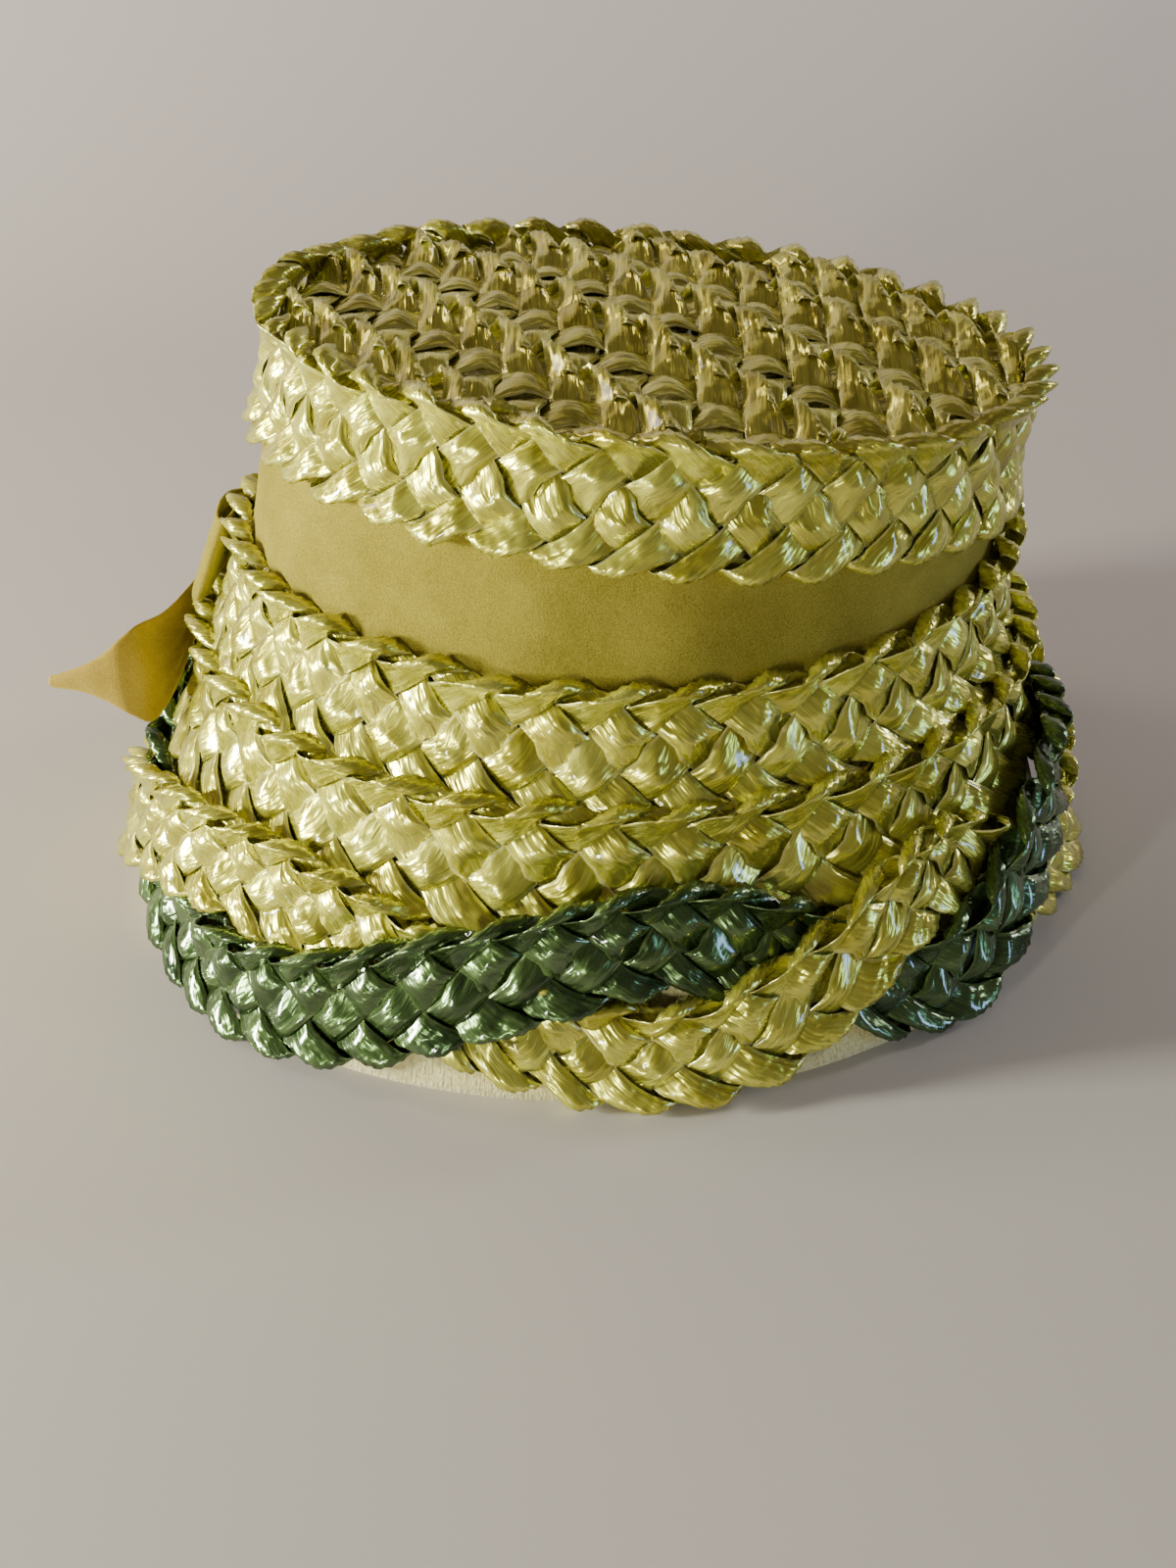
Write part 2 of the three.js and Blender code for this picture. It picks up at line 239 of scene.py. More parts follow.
STRAW = straw_finish("straw", pale=(0.84, 0.82, 0.14, 1), deep=(0.42, 0.37, 0.025, 1),
                     edge_highlight_colour=(0.95, 0.92, 0.4, 1), metal=0.7)
GREEN = straw_finish("green straw", pale=(0.1, 0.17, 0.045, 1),
                     deep=(0.015, 0.038, 0.007, 1), edge_highlight_colour=(0.2, 0.3, 0.1, 1),
                     metal=0.65)
print("straw finishes:", STRAW.name, "and", GREEN.name)

# %% [markdown]
# ## A plait of five straws
# Each straw runs up at 45 degrees, folds back over the edge, runs down, and folds again at
# the other edge. Between two folds it crosses the four others, over and under in turn. Laid
# flat the straw is a plain strip, so it is made as a flat grid with its UV map in metres, and
# a formula folds it: the strip is straight in the unfolded plane, and the plane is folded to
# and fro at the two edges of the plait.
#
# The steps along a straw are counted in cells, one for each crossing. Cells 1 to 4 run up,
# cell 5 is the top fold, cells 6 to 9 run down and cell 10 is the bottom fold.

# %% How a straw passes over and under
PLAIT_WIDTH = 36 * MM
LOOP_PITCH = 14.5 * MM
STRAWS = 5
CELLS = 2 * STRAWS                 # cells in one run up and down
CELL = LOOP_PITCH / math.sqrt(2)   # length of a cell along the straw
STRAW_THICKNESS = 0.3 * MM
CREASE_RADIUS = 0.16               # rounding of a fold, in cells


def over_under(cell):
    """1 where the straw lies over the one it crosses, -1 where it lies under."""
    cell = (cell - 1) % CELLS + 1
    if cell <= STRAWS - 1:
        return math.cos(math.pi * cell)
    if cell <= STRAWS + 1:
        return math.cos(math.pi * (cell - STRAWS + 1) / 2)
    if cell <= CELLS - 1:
        return -math.cos(math.pi * cell)
    return math.cos(math.pi * (cell - CELLS + 1) / 2)


def soft(distance):
    """Distance from a fold with the crease rounded off."""
    return math.hypot(distance, CREASE_RADIUS) - CREASE_RADIUS


def wobble(seed, count):
    """Smooth random values along a closed straw, one for each cell."""
    draw = random.Random(seed)
    values = [draw.uniform(-1, 1) for _ in range(count)]

    def at(cell):
        k = math.floor(cell)
        t = cell - k
        t = t * t * (3 - 2 * t)
        return values[k % count] * (1 - t) + values[(k + 1) % count] * t

    return at


print("over and under by cell:", [round(over_under(k), 1) for k in range(1, CELLS + 1)])

# %% [markdown]
# At an edge the straw doesn't fold flat: the loop stays round and open, and its two sides
# draw in, so each loop stands up as a small arch. The middle of a straw bulges where it lies
# on top. The amounts below are what a hand-made plait of this straw shows.

# %% Folding a flat straw into the plait
STEPS = 6                # faces along a cell
ACROSS = 6               # faces across a straw
WAVE = 1 * MM            # how far a straw moves out and in where it crosses others
PILLOW = 1.7 * MM        # bulge of a straw's middle where it lies on top
PILLOW_LOSS = 0.4        # share of the bulge that a fold presses flat
RIDGE = 1 * MM           # height of the crease down the middle of a loop
ROUND_LOSS = 0.4         # share of a loop's opening that is lost at the straw's edges
NARROW = 0.95            # width of the straw over the room it has
BOTTOM_ARCH = 5.4 * MM   # how far the ends of a bottom loop draw in
TOP_CURVE = 1.7          # how late the ends draw in across the straw, at a top loop
BOTTOM_CURVE = 1.9       # and at a bottom loop
ARCH_REACH = 1.2         # cells from a fold in which the ends draw in
SPLAY_REACH = 1.1        # cells from a top fold in which a loop stands out
OPEN_REACH = 0.4         # cells from a fold in which a loop opens
CLOSE_REACH = 0.8        # cells in which it closes again

# What differs from straw to straw: how far it wanders down the plait, how far it stands out,
# how much wider it is, how far it turns on its length, and how far its loops' peaks shift.
DRIFT = 0.9 * MM
SWELL_OUT = 0.4 * MM
SWELL_WIDTH = 0.05
LEAN_OUT = 0.7 * MM
LEAN_PEAK = 0.25

# Top loops: how far apart their two sides stay, how far they stand out, how far their ends
# draw in, where across the straw they peak, and how far one end is turned out.
SCALES = {"round": 2.2 * MM, "splay": 2.4 * MM, "arch": 4 * MM, "peak": 0.1,
          "turned": 2.8 * MM}
ARCHES = {"round": 2.4 * MM, "splay": 2.6 * MM, "arch": 5 * MM, "peak": 0.1,
          "turned": 2.4 * MM}
FINS = {"round": 1.1 * MM, "splay": 5.5 * MM, "arch": 6.5 * MM, "peak": -0.45, "turned": 0}


def near(distance, reach):
    """1 at a fold, falling to 0 at this reach from it."""
    return max(1 - distance / reach, 0)


def loop_profile(far):
    """How far a loop's side stands out, by its distance from the fold in cells."""
    t = min(far / OPEN_REACH, 1)
    closing = near(max(far - OPEN_REACH, 0), CLOSE_REACH)
    return math.sqrt(t * (2 - t)) * closing * closing


def fold(cell, side, drift, swell, lean, shape):
    """Place in the plait: along it in loops, down from its top edge, and out."""
    width = NARROW + SWELL_WIDTH * swell
    across = side * width / 2
    unfolded = (cell + across) % CELLS
    to_top = abs(unfolded - STRAWS)
    to_bottom = STRAWS - to_top
    to_fold = min(to_top, to_bottom)
    at_top = to_top < to_bottom
    rows = soft(to_top) if at_top else STRAWS - soft(to_bottom)
    peak = (shape["peak"] if at_top else 0) + LEAN_PEAK * lean
    aside = abs(side - peak) / (1 + abs(peak))
    down = rows * PLAIT_WIDTH / STRAWS
    down += shape["arch"] * aside ** TOP_CURVE * near(to_top, ARCH_REACH) ** 2
    down -= BOTTOM_ARCH * aside ** BOTTOM_CURVE * near(to_bottom, ARCH_REACH) ** 2
    folded = near(to_fold, 1)
    passing = over_under(cell + across * min(2 * folded, 1))
    dome = PILLOW * (1 - side * side) * (1 - PILLOW_LOSS * folded)
    outer = shape["round"] * (1 - ROUND_LOSS * side * side) + RIDGE * (1 - aside)
    outer *= math.copysign(loop_profile(to_fold), passing)
    out = WAVE * passing + max(passing, 0) * dome + outer + LEAN_OUT * side * lean
    out += (shape["splay"] + shape["turned"] * side) * near(to_top, SPLAY_REACH)
    along = (cell - across) / 2
    return along, down + DRIFT * drift, out + SWELL_OUT * swell


# %% [markdown]
# Straws and cloth start the same way: as a flat grid of their cut size. The plait is the five
# straws laid a loop apart.

# %% Laying straws
UV_SHIFT = 0.73   # metres between two straws in the finish, so that no two look alike


def flat_strip(bm, uv, length, width, long_steps, wide_steps, shift=0):
    """A flat strip of its cut size, with its UV map in metres; gives its vertices."""
    size = Matrix.Diagonal((length / 2, width / 2, 1, 1))
    place = Matrix.Translation((length / 2, 0, 0)) @ size
    made = bmesh.ops.create_grid(bm, x_segments=long_steps, y_segments=wide_steps, size=1,
                                 matrix=place)
    for face in {face for vert in made["verts"] for face in vert.link_faces}:
        face.smooth = True
        for loop in face.loops:
            loop[uv].uv = loop.vert.co.xy + Vector((shift, 0))
    return made["verts"]


def lay_straw(bm, uv, cells, start, seed, shape):
    """One straw: yields each vertex of the flat strip with its place in the plait."""
    drift, swell, lean = (wobble(seed + k / 4, cells) for k in range(3))
    strip = flat_strip(bm, uv, cells * CELL, CELL, cells * STEPS, ACROSS, seed * UV_SHIFT)
    for vert in strip:
        cell, side = vert.co.x / CELL, 2 * vert.co.y / CELL
        along, down, out = fold(cell, side, drift(cell), swell(cell), lean(cell), shape)
        yield vert, along + start, down, out


# %% [markdown]
# A helper turns a bmesh into a piece: it gives the sheet its thickness, its finish, its slot
# and the solid it stands for.

# %% From a bmesh to a piece
def finish_piece(bm, name, material, node, thickness):
    bmesh.ops.remove_doubles(bm, verts=bm.verts, dist=0.01 * MM)
    bmesh.ops.recalc_face_normals(bm, faces=bm.faces)
    mesh = bpy.data.meshes.new(name)
    bm.to_mesh(mesh)
    bm.free()
    mesh.materials.append(material)
    piece = bpy.data.objects.new(name, mesh)
    bpy.context.collection.objects.link(piece)
    if thickness:
        wall = piece.modifiers.new("thickness", "SOLIDIFY")
        wall.thickness = thickness
        wall.offset = 0
    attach(piece, "root")
    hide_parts(node)
    print(name, "has", len(mesh.polygons), "faces before its thickness")
    return piece


def ring_plait(node, loop_count, place, seed, mirrored=False, shape=SCALES, material=STRAW):
    """A plait closed into a ring. place gives a point from an angle, down and out."""
    bm = bmesh.new()
    uv = bm.loops.layers.uv.new("straw")
    strands = math.gcd(STRAWS, loop_count)
    cells = CELLS * loop_count // strands
    for strand in range(strands):
        straw = lay_straw(bm, uv, cells, strand, seed + strand, shape)
        for vert, along, down, out in straw:
            turn = TURN * along / loop_count
            vert.co = place(-turn if mirrored else turn, down, out)
    return finish_piece(bm, node + "_straws", material, node, STRAW_THICKNESS)


# %% [markdown]
# ## The crown's three plaits
# Each hangs from its edge. The straws are laid round the block at the distance that the
# solid plait keeps, so nothing has to be fitted. That distance changes from the top of the
# plait to its bottom, over a share of its width.

# %% Crown plaits
PLAIT_HALF_THICKNESS = 1.6 * MM
CROWN_LOOPS = 40
STAND_OFF = {
    "rim": {"top": 2.2 * MM, "bottom": 2.2 * MM, "over": 1},
    "middle_plait": {"top": 2.5 * MM, "bottom": 0.5 * MM, "over": 1},
    "lower_plait": {"top": 5 * MM, "bottom": 2.3 * MM, "over": 0.6},
}


def crown_place(edge):
    stand = STAND_OFF[edge]

    def place(angle, down, out):
        share = min(max(down / PLAIT_WIDTH / stand["over"], 0), 1)
        inner = stand["top"] + (stand["bottom"] - stand["top"]) * share
        height = edge_height(edge, angle) - down
        return block(angle, height, inner + PLAIT_HALF_THICKNESS + out)

    return place


upper = ring_plait("upper_crown_plait", CROWN_LOOPS, crown_place("rim"), 11, mirrored=True,
                   shape=ARCHES)
middle = ring_plait("middle_crown_plait", CROWN_LOOPS, crown_place("middle_plait"), 23)
lower = ring_plait("lower_crown_plait", CROWN_LOOPS, crown_place("lower_plait"), 37)

# %% [markdown]
# ## The brim's twist
# Two plaits are twisted round each other like a rope. Each climbs and falls as the twist
# turns, and the one on top lies further out. The crossings aren't evenly spaced, so the turn
# is a smooth curve through them.

# %% Brim plaits
BRIM_LOOPS = 52
BRIM_SLOPE = 0.385         # how far the brim's wall leans out for each unit down
TWIST_HEIGHT = 29.8 * MM
TWIST_RISE = 15.8 * MM     # how far a plait climbs from the middle of the twist
TWIST_STAND_OFF = 8.5 * MM
TWIST_DEPTH = 3 * MM       # how far the upper plait stands out from the middle
TWIST_CURVE = 0.6          # below 1 the plaits change places quickly
TWIST_LEAN = 0.14          # how far the top of the twist stands out, for each unit up
TWIST_COSINE = math.cos(math.atan(BRIM_SLOPE))
TWIST_WIDTH = {"squeezed": 31.5 * MM, "crossing": 36 * MM}
TWIST_CROSSINGS = [-84, -25, 20, 50, 95, 140, 186, 231]   # degrees


def crossing(k):
    count = len(TWIST_CROSSINGS)
    return TWIST_CROSSINGS[k % count] + 360 * (k // count)


def twist_phase(angle):
    """Turn of the twist: half a turn more from each crossing to the next."""
    degrees = TWIST_CROSSINGS[0] + (math.degrees(angle) - TWIST_CROSSINGS[0]) % 360
    k = 0
    while crossing(k + 1) <= degrees:
        k += 1
    gap = crossing(k + 1) - crossing(k)
    t = (degrees - crossing(k)) / gap
    start = 2 * gap / (crossing(k + 1) - crossing(k - 1))
    end = 2 * gap / (crossing(k + 2) - crossing(k))
    smooth = start * t * (1 - t) ** 2 - end * t * t * (1 - t) + t * t * (3 - 2 * t)
    return math.pi * (k + smooth)


def twist_place(side):
    def place(angle, down, out):
        phase = twist_phase(angle)
        over = math.cos(phase)
        depth = side * TWIST_DEPTH * math.copysign(abs(over) ** TWIST_CURVE, over)
        spread = TWIST_WIDTH["crossing"] - TWIST_WIDTH["squeezed"]
        width = TWIST_WIDTH["squeezed"] + spread * over * over
        climb = side * TWIST_RISE * math.sin(phase) + width * (0.5 - down / PLAIT_WIDTH)
        stand = TWIST_STAND_OFF + depth + TWIST_LEAN * climb
        return block(angle, TWIST_HEIGHT + climb * TWIST_COSINE, stand + out)

    return place


ring_plait("brim_plait_yellow", BRIM_LOOPS, twist_place(1), 51)
ring_plait("brim_plait_green", BRIM_LOOPS, twist_place(-1), 67, material=GREEN)

# %% [markdown]
# ## The crown's tip
# Straight rows of the same plait are sewn side by side on the slant, each far edge a little
# over the row behind it. A row is an open strip, so its straws simply run past the oval: what
# lies outside is turned down along the inside of the rim plait, and the rest is cut off.

# %% Crown tip
TIP_SINK = 9 * MM          # how far the tip lies below the rim
TIP_DOME = 5 * MM          # and how far its middle rises again
TIP_ROWS = 7
TIP_ROW_PITCH = 32 * MM
TIP_ROW_ANGLE = math.radians(56)
TIP_LOOPS = 16
TIP_LOOP_PITCH = 17.5 * MM
TIP_LAP = 2.6 * MM         # rise of a row's far edge, and fall of its near one
TIP_TURNED_DOWN = 7 * MM   # what is left of a row outside the oval
TIP_SEED = 101
RIM_REACH = 1.6 * MM       # the oval's distance off the block


def tip_height(x, y):
    along, across = (y - TOP_LEAN) / TOP_HALF_LENGTH, x / (TOP_HALF_LENGTH * OVAL)
    dome = TIP_DOME * max(1 - along * along - across * across, 0)
    rim = EDGES["rim"]
    return rim["middle"] - TIP_SINK + rim["to_back"] * along + rim["to_left"] * across + dome


def tip_place(offset):
    ahead = Vector((math.sin(TIP_ROW_ANGLE), math.cos(TIP_ROW_ANGLE)))
    far = Vector((-ahead.y, ahead.x))

    def place(run, down, out):
        """The point, and how far outside the oval it was."""
        share = down / PLAIT_WIDTH
        spot = ahead * run + far * (offset + PLAIT_WIDTH * (0.5 - share))
        spot.y += TOP_LEAN
        height = tip_height(*spot) + TIP_LAP * (0.5 - share) * 2 + out
        angle = math.atan2((spot.y - TOP_LEAN) / TOP_HALF_LENGTH,
                           spot.x / (TOP_HALF_LENGTH * OVAL))
        edge = block(angle, height, RIM_REACH).xy - MIDDLE
        centre = Vector((0, TOP_LEAN))
        beyond = (spot - centre).length - (edge - centre).length
        if beyond > 0:
            spot, height = edge, height - beyond
        return Vector((*(spot + MIDDLE), height)), beyond

    return place


bm = bmesh.new()
uv = bm.loops.layers.uv.new("straw")
cells = CELLS * (TIP_LOOPS // STRAWS + 1)
cut = []
for row in range(TIP_ROWS):
    place = tip_place((row - (TIP_ROWS - 1) / 2) * TIP_ROW_PITCH)
    for strand in range(STRAWS):
        start = strand - TIP_LOOPS / 2 - STRAWS / 2
        seed = TIP_SEED + 10 * row + strand
        for vert, along, down, out in lay_straw(bm, uv, cells, start, seed, FINS):
            vert.co, beyond = place(-along * TIP_LOOP_PITCH, down, out)
            if beyond > TIP_TURNED_DOWN:
                cut.append(vert)
bmesh.ops.delete(bm, geom=cut, context="VERTS")
finish_piece(bm, "crown_tip_straws", STRAW, "crown_tip", STRAW_THICKNESS)

# %% [markdown]
# ## Velvet and base fabric
# Velvet is a dense pile. Light grazing it catches the tips of the hairs, so it is bright at
# its outline and dark where it faces you. The shader's sheen does that, and a fine noise
# gives the pile its soft uneven nap. The tails turn the ribbon's back to the light, which is
# warmer and paler than its pile. The brim's base fabric is a plain pale weave.

# %% Cloth finishes
def velvet_finish(name, shade_colour, nap_colour):
    finish = Finish(name, Sheen_Weight=0.4, Sheen_Roughness=0.35, Roughness=0.95,
                    Sheen_Tint=(0.95, 0.88, 0.3, 1), Specular_IOR_Level=0.15)
    place = finish.node("ShaderNodeTexCoord", [], output="Object")
    nap = finish.noise(place, 45, detail=4, roughness=0.6)
    pile = finish.noise(place, 2600, roughness=0.7)
    shade = (nap * 0.35 + pile * 0.65).between(0.3, 0.7)
    finish.set("Base Color", finish.mix(shade, shade_colour, nap_colour))
    brushed = finish.bump(nap, distance=1.5 * MM, strength=0.3)
    finish.set("Normal", finish.bump(pile, distance=0.5 * MM, strength=0.5, normal=brushed))
    return finish.material


def lining_finish():
    finish = Finish("base fabric", Sheen_Weight=0.3, Roughness=0.95, Specular_IOR_Level=0.1)
    flat = finish.node("ShaderNodeUVMap", [], uv_map="cloth")
    threads = finish.streaks(flat, 1400, 300, roughness=0.6)
    fluff = finish.noise(flat, 700, detail=3, roughness=0.7)
    shade = (threads * 0.4 + fluff * 0.6).between(0.25, 0.75)
    finish.set("Base Color", finish.mix(shade, (0.48, 0.4, 0.14, 1), (0.78, 0.72, 0.42, 1)))
    finish.set("Normal", finish.bump(shade, distance=0.5 * MM, strength=0.7))
    return finish.material


VELVET = velvet_finish("velvet", (0.16, 0.125, 0.012, 1), (0.36, 0.3, 0.045, 1))
RIBBON_BACK = velvet_finish("ribbon back", (0.3, 0.19, 0.025, 1), (0.5, 0.36, 0.07, 1))
LINING = lining_finish()

# %% [markdown]
# ## The velvet band and the base fabric
# Both are strips of cloth drawn round the block. A strip is a flat grid of its cut size, and
# it is then wrapped: the same way as a straw, but without folds. Small waves keep the band
# from looking like a pipe.

# %% Cloth strips
MEASURED = 96                  # stretches in which the way round the block is measured
STRIP_FACES = (240, 14)        # round the strip and down it
CLOTH_THICKNESS = 1.2 * MM
BAND_OUT = 0.8 * MM            # distance of the band's middle off the block
BAND_TUCK = 7 * MM             # how far the band goes down behind the middle plait
BAND_RIPPLE = 0.25 * MM


def ripple(angle):
    """Uneven waves round the hat, from -1 to 1."""
    return math.sin(9 * angle + 2.1 * math.sin(3 * angle))


def wrapped_strip(node, material, levels, wave):
    """A closed strip. levels gives heights and distances off the block, top one first."""
    measured_height = levels[len(levels) // 2][0]
    angles = [TURN * k / MEASURED for k in range(MEASURED + 1)]
    rounds = [block(angle, measured_height(angle), 0) for angle in angles]
    length = sum((b - a).length for a, b in zip(rounds, rounds[1:]))
    width = levels[0][0](0) - levels[-1][0](0)
    bm = bmesh.new()
    uv = bm.loops.layers.uv.new("cloth")
    for vert in flat_strip(bm, uv, length, width, *STRIP_FACES):
        angle = TURN * vert.co.x / length
        share = (0.5 - vert.co.y / width) * (len(levels) - 1)
        k = min(int(share), len(levels) - 2)
        (upper_height, upper_out), (lower_height, lower_out) = levels[k], levels[k + 1]
        t = share - k
        height = upper_height(angle) * (1 - t) + lower_height(angle) * t
        out = upper_out * (1 - t) + lower_out * t
        out += wave * ripple(angle) * math.sin(math.pi * t)
        vert.co = block(angle, height, out)
    piece = finish_piece(bm, node + "_cloth", material, node, CLOTH_THICKNESS)
    print(node, "cut, mm:", round(length / MM), "by", round(width / MM))
    return piece, (width, length)


def band_top(angle):
    return edge_height("velvet_top", angle)


def band_bottom(angle):
    return edge_height("middle_plait", angle) - BAND_TUCK


def level(height):
    """The same height all round."""
    return lambda angle: height


band, band_cut = wrapped_strip("velvet_band", VELVET,
                               [(band_top, BAND_OUT), (band_bottom, BAND_OUT)], BAND_RIPPLE)

lining_levels = [(level(58 * MM), 0.4 * MM), (level(28 * MM), 0.9 * MM),
                 (level(0.1 * MM), -1 * MM)]
lining, lining_cut = wrapped_strip("brim_lining", LINING, lining_levels, wave=0)

# %% [markdown]
# ## The bow
# A wide velvet ribbon: two loops and two tails under a wrapped knot. Each is a strip of cloth
# again, laid along a smooth curve through its stations with its own width at each of them.
# The gathers at the knot are small folds across the strip.

# %% Ribbon along a curve
BOW_ANGLE = math.radians(-116)
BOW_HEIGHT = 99 * MM
BOW_STAND_OFF = 7 * MM
BOW_LEAN = 0.45                # how far the ribbon leans in, for each unit up
RIBBON_STEPS = 60              # faces along a ribbon
RIBBON_ACROSS = 18             # and across it
RIBBON_THICKNESS = 0.9 * MM
LOOK_AHEAD = 0.01              # share of the curve that gives its direction
GATHER_WAVES = 3.5             # waves of the gathers across half the ribbon, in half turns


def through(points, t):
    """Catmull-Rom curve through the points; t runs from 0 to 1."""
    span = t * (len(points) - 1)
    k = min(int(span), len(points) - 2)
    a, b, c, d = (points[min(max(k + j, 0), len(points) - 1)] for j in (-1, 0, 1, 2))
    s = span - k
    return 0.5 * (2 * b + (c - a) * s + (2 * a - 5 * b + 4 * c - d) * s * s
                  + (3 * b - a - 3 * c + d) * s ** 3)


def station(point, width):
    return Vector((*point, width))


def bow_ribbon(node, stations, wide, gathers, cup, material=VELVET):
    """stations are vectors of a centre and a width; wide is the direction across."""
    points = [through(stations, k / RIBBON_STEPS) for k in range(RIBBON_STEPS + 1)]
    length = sum((b - a).xyz.length for a, b in zip(points, points[1:]))
    width = max(p[3] for p in points)
    bm = bmesh.new()
    uv = bm.loops.layers.uv.new("cloth")
    for vert in flat_strip(bm, uv, length, width, RIBBON_STEPS, RIBBON_ACROSS):
        t, side = vert.co.x / length, 2 * vert.co.y / width
        centre, ahead = through(stations, t), through(stations, min(t + LOOK_AHEAD, 1))
        behind = through(stations, max(t - LOOK_AHEAD, 0))
        face = (ahead - behind).xyz.cross(wide).normalized()
        gather = gathers(t) * math.cos(GATHER_WAVES * math.pi * side)
        vert.co = centre.xyz + wide * side * centre[3] / 2 + face * (gather + cup * side ** 2)
    piece = finish_piece(bm, node + "_ribbon", material, node, RIBBON_THICKNESS)
    sub = piece.modifiers.new("soft", "SUBSURF")
    sub.levels = sub.render_levels = 1
    return piece, (width, length)


# %% [markdown]
# A loop leaves the knot along the crown, turns back at its end and comes home over itself.
# Its stations are given in millimetres: how far along the crown they are from the knot, how
# far they stand out, and how wide the ribbon is there.

# %% Bow loops
LOOP_GATHER = 1.2 * MM
LOOP_STATIONS = [
    {"reach": 3.9, "out": 2.2, "width": 12}, {"reach": 12, "out": 1, "width": 22},
    {"reach": 22, "out": 1, "width": 29}, {"reach": 31, "out": 1.4, "width": 30},
    {"reach": 34.5, "out": 3.2, "width": 30}, {"reach": 32, "out": 5.2, "width": 30},
    {"reach": 23, "out": 6.2, "width": 29}, {"reach": 13, "out": 6.8, "width": 22},
    {"reach": 4.4, "out": 6.4, "width": 12},
]
bow_out = Vector((math.cos(BOW_ANGLE) / OVAL, math.sin(BOW_ANGLE), 0)).normalized()
bow_up = (Vector((0, 0, 1)) - bow_out * BOW_LEAN).normalized()
bow_root = block(BOW_ANGLE, BOW_HEIGHT, BOW_STAND_OFF)


def gathered_twice(t):
    """Depth of a loop's gathers: deep at both ends, none at its turn."""
    return LOOP_GATHER * (2 * abs(t - 0.5)) ** 3


for name, side in (("bow_loop_left", 1), ("bow_loop_right", -1)):
    rows = []
    for row in LOOP_STATIONS:
        angle = BOW_ANGLE + side * row["reach"] * MM / (TOP_HALF_LENGTH * OVAL)
        point = block(angle, BOW_HEIGHT, BOW_STAND_OFF + row["out"] * MM)
        rows.append(station(point, row["width"] * MM))
    loop, cut_size = bow_ribbon(name, rows, bow_up, gathered_twice, cup=0)

# %% [markdown]
# The tails hang from under the knot and stand off the brim, as stiff velvet does. A row of
# their tables is a station's place, from the middle of the block, and the ribbon's width
# there, in millimetres.

# %% Bow tails
TAIL_GATHER = 1 * MM
TAIL_CUP = 1.2 * MM            # how far the edges curl off the middle
TAIL_AREA = 0.62               # area of a pointed tail over that of its rectangle
TAILS = {
    "bow_tail_left": [
        (-43.8, -100.6, 86.6, 9), (-36, -108, 80, 12), (-22, -115.5, 74, 16),
        (-5, -121, 70.5, 25), (9, -126.5, 71, 31), (13, -132.5, 72, 24), (13, -139, 72, 14),
        (12, -145.5, 71.8, 7.5), (10, -154, 70.7, 3),
    ],
    "bow_tail_right": [
        (-47, -98.5, 86.6, 9), (-55, -101, 80, 18), (-66, -95, 74, 26),
        (-75, -87, 71, 17), (-83, -78, 68, 2),
    ],
}


def gathered_once(t):
    """Depth of a tail's gathers: deep at the knot, fading towards the point."""
    return TAIL_GATHER * (1 - t) ** 3


for name, table in TAILS.items():
    rows = [station(Vector((x, y, z)) * MM + Vector((*MIDDLE, 0)), width * MM)
            for x, y, z, width in table]
    tail, cut_size = bow_ribbon(name, rows, Vector((0, 0, 1)), gathered_once, TAIL_CUP,
                                RIBBON_BACK)
    area = TAIL_AREA * cut_size[0] * cut_size[1]

# %% [markdown]
# The knot is one more turn of ribbon, pulled tight: a ball squeezed into an oval barrel, with
# its creases pressed in across it.

# %% Bow knot
KNOT = Vector((10, 8.4, 15)) * MM   # depth, width and height
KNOT_CREASE = 0.07                  # depth of the creases over the knot's radius
KNOT_SQUARENESS = 5
bm = bmesh.new()
uv = bm.loops.layers.uv.new("cloth")
bmesh.ops.create_uvsphere(bm, u_segments=48, v_segments=28, radius=0.5)
side_way = bow_up.cross(bow_out).normalized()
front_way = side_way.cross(bow_up).normalized()
for face in bm.faces:
    face.smooth = True
    for loop in face.loops:
        ball = loop.vert.co
        loop[uv].uv = (ball.z * KNOT.z, math.atan2(ball.y, ball.x) * KNOT.x)
for vert in bm.verts:
    rise = vert.co.z * 2
    angle = math.atan2(vert.co.y, vert.co.x)
    barrel = math.sqrt(max(1 - abs(rise) ** KNOT_SQUARENESS, 0))
    creases = math.cos(GATHER_WAVES * math.pi * rise + 0.6 * math.sin(2 * angle))
    pull = barrel * (1 - KNOT_CREASE * creases) / 2
    vert.co = (bow_root + bow_out * KNOT.x / 2
               + front_way * math.cos(angle) * pull * KNOT.x
               + side_way * math.sin(angle) * pull * KNOT.y
               + bow_up * rise * KNOT.z / 2)
finish_piece(bm, "bow_knot_ribbon", VELVET, "bow_knot", 0)

# %% [markdown]
# ## Stage, light and camera
# A plain pale floor curves up behind the hat, on the side away from the camera. The key is a
# small light, low and in front of the hat, so it grazes the crown's side, leaves the tip in
# shade and shows in the glossy straw as short sharp streaks. A narrow strip adds streaks on
# the camera's side, a blue window light comes from behind, and two lights fall on the wall.

# %% Floor
FLOOR_SIZE = 3
SWEEP_START = -0.45
SWEEP_RADIUS = 0.7
bm = bmesh.new()
bmesh.ops.create_grid(bm, x_segments=120, y_segments=1, size=FLOOR_SIZE)
for vert in bm.verts:
    past = SWEEP_START - vert.co.x
    if past > 0:
        bend = min(past / SWEEP_RADIUS, math.pi / 2)
        rest = past - bend * SWEEP_RADIUS
        vert.co.x = SWEEP_START - SWEEP_RADIUS * math.sin(bend)
        vert.co.z = SWEEP_RADIUS * (1 - math.cos(bend)) + rest
for face in bm.faces:
    face.smooth = True
floor_mesh = bpy.data.meshes.new("floor")
bm.to_mesh(floor_mesh)
bm.free()
floor = bpy.data.objects.new("floor", floor_mesh)
bpy.context.collection.objects.link(floor)
floor_finish = Finish("floor", Roughness=0.9, Specular_IOR_Level=0.1)
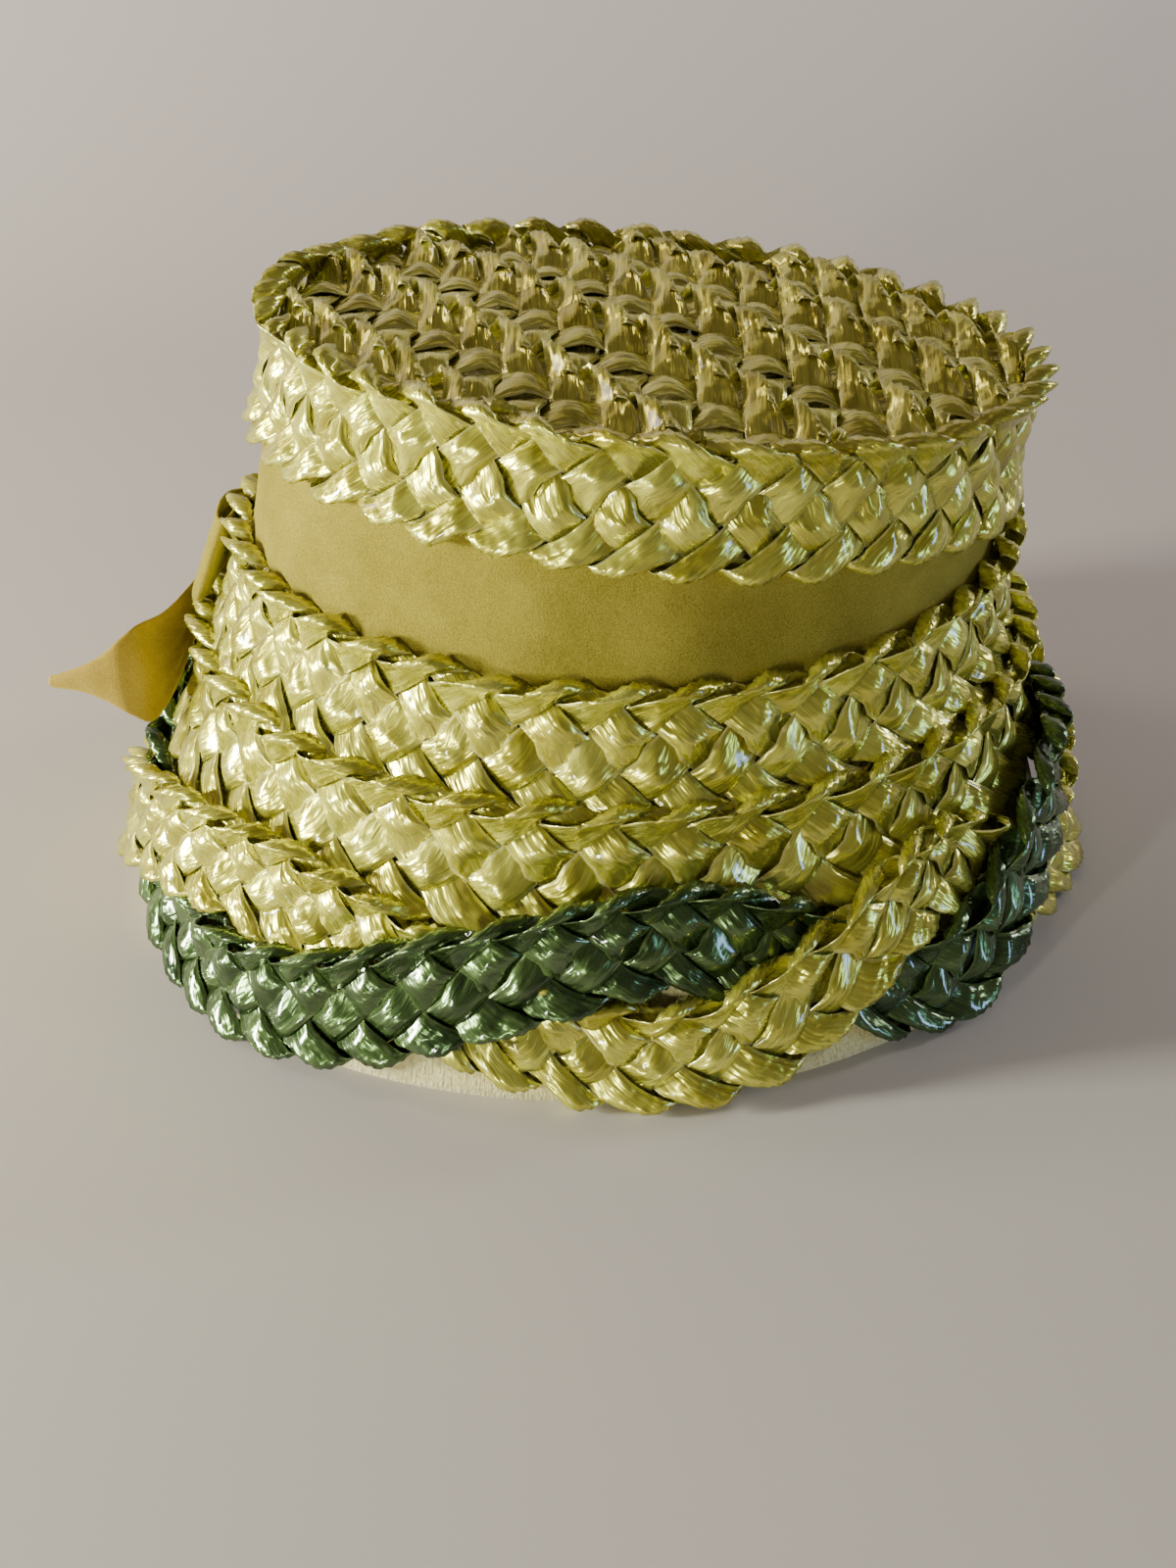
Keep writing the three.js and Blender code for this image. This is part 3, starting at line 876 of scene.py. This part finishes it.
floor_finish.set("Base Color", (0.6, 0.54, 0.51, 1))
floor_mesh.materials.append(floor_finish.material)

# %% [markdown]
# All the lights are soft rectangles. Each is aimed at the middle of the hat, apart from the
# two that light the wall behind it.

# %% Lights
HAT_MIDDLE = (0, 0, 0.08)
world = bpy.data.worlds.new("studio")
bpy.context.scene.world = world
world.use_nodes = True
background = world.node_tree.nodes["Background"].inputs
background["Color"].default_value = (1, 0.84, 0.7, 1)
background["Strength"].default_value = 0.13


def soft_light(name, place, size, power, colour, target=HAT_MIDDLE):
    data = bpy.data.lights.new(name, "AREA")
    data.shape = "RECTANGLE"
    data.size, data.size_y = size
    data.energy = power
    data.color = colour
    light = bpy.data.objects.new(name, data)
    bpy.context.collection.objects.link(light)
    aim = Vector(target) - Vector(place)
    light.location = place
    light.rotation_euler = aim.to_track_quat("-Z", "Y").to_euler()


soft_light("key", (0.14, -1.22, 0.24), size=(0.2, 0.2), power=38, colour=(0.97, 1, 0.84))
soft_light("strip", (1.05, -0.8, 0.18), size=(0.06, 0.22), power=8, colour=(0.97, 1, 0.85))
soft_light("top", (0.5, -0.2, 1.4), size=(0.5, 0.5), power=0.4, colour=(1, 0.88, 0.7))
soft_light("window", (0.75, 1.3, 0.25), size=(0.15, 0.5), power=5, colour=(0.36, 0.6, 1))
soft_light("wall", (-0.5, -1.4, 0.9), size=(0.5, 0.5), power=10, colour=(1, 0.87, 0.76),
           target=(-1.2, -0.2, 0.3))
soft_light("cool wall", (-0.5, 2, 0.8), size=(0.4, 0.4), power=18, colour=(0.92, 0.95, 1),
           target=(-1.1, 1.1, 0))

# %% [markdown]
# The camera stands where the photograph was taken from: a little above the hat, on the
# wearer's left, turned by a hair.

# %% Camera
AZIMUTH, ELEVATION, ROLL = (math.radians(d) for d in (84.999, 32.296, -1.299))
DISTANCE = 556.256 * MM
TARGET = Vector((29.223, -6.073, 37.542)) * MM + Vector((*MIDDLE, 0))
SENSOR_WIDTH = 36   # of the camera's film, in millimetres
LENS = 44.97        # focal length, in millimetres
back = Vector((math.sin(AZIMUTH) * math.cos(ELEVATION),
               -math.cos(AZIMUTH) * math.cos(ELEVATION), math.sin(ELEVATION)))
right = Vector((math.cos(AZIMUTH), math.sin(AZIMUTH), 0))
up = back.cross(right)
across = right * math.cos(ROLL) + up * math.sin(ROLL)
upright = up * math.cos(ROLL) - right * math.sin(ROLL)
camera = bpy.data.objects.new("camera", bpy.data.cameras.new("camera"))
bpy.context.collection.objects.link(camera)
turn = Matrix((across, upright, back)).transposed().to_4x4()
camera.matrix_world = Matrix.Translation(TARGET + back * DISTANCE) @ turn
camera.data.sensor_width = SENSOR_WIDTH
camera.data.lens = LENS
bpy.context.scene.camera = camera
print("camera at, mm:", [round(v / MM) for v in camera.matrix_world.translation])
